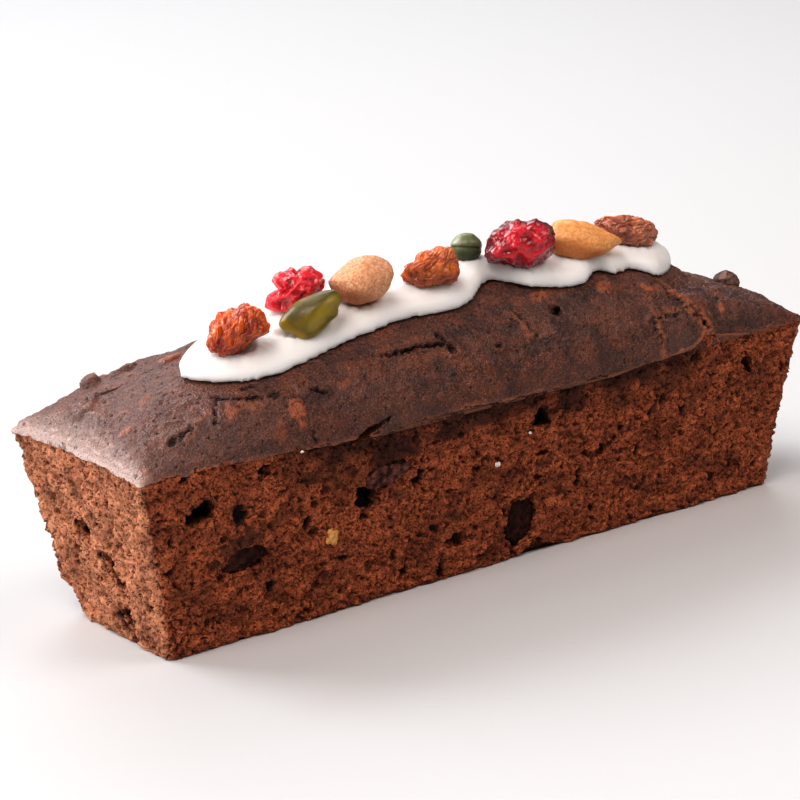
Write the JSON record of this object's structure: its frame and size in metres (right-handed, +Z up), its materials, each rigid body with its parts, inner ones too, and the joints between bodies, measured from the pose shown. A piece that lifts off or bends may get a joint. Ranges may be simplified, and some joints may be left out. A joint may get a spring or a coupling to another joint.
{
  "type": "chocolate pound cake",
  "caption": "Slim loaf cake with tapered walls, a domed and cracked crust, and a strip of white icing along its crest set with dried fruits and nuts.",
  "frame": {"origin": "centre of the bounding box in X and Y, on the plane of the flat base", "axes": "+X along the loaf, towards the end whose crust sank behind the long crack; -Y towards the long wall with the torn holes; +Z up"},
  "size_m": [0.2, 0.061, 0.0828],
  "materials": {
    "cake": "matte, granular crumb",
    "icing": "satin",
    "raisin_amber": "satin, wrinkled",
    "raisin_brown": "satin, wrinkled",
    "raisin_dark": "satin, wrinkled",
    "cranberry": "glossy, crumpled",
    "cranberry_dark": "glossy, crumpled",
    "pistachio": "satin",
    "pistachio_dark": "satin",
    "hazelnut": "matte, fine grain",
    "almond": "satin, fine lengthwise grain",
    "baked_raisin": "satin, wrinkled"
  },
  "bodies": {
    "root": {"cake": "cake", "icing": "icing", "raisin_1": "raisin_amber", "cranberry_1": "cranberry", "pistachio_long": "pistachio", "hazelnut": "hazelnut", "raisin_2": "raisin_brown", "pistachio_round": "pistachio_dark", "cranberry_2": "cranberry_dark", "almond": "almond", "raisin_3": "raisin_dark", "wall_raisin_left": "baked_raisin", "wall_raisin_upper": "baked_raisin", "wall_raisin_low": "baked_raisin", "crust_raisin": "baked_raisin"}
  },
  "joints": []
}
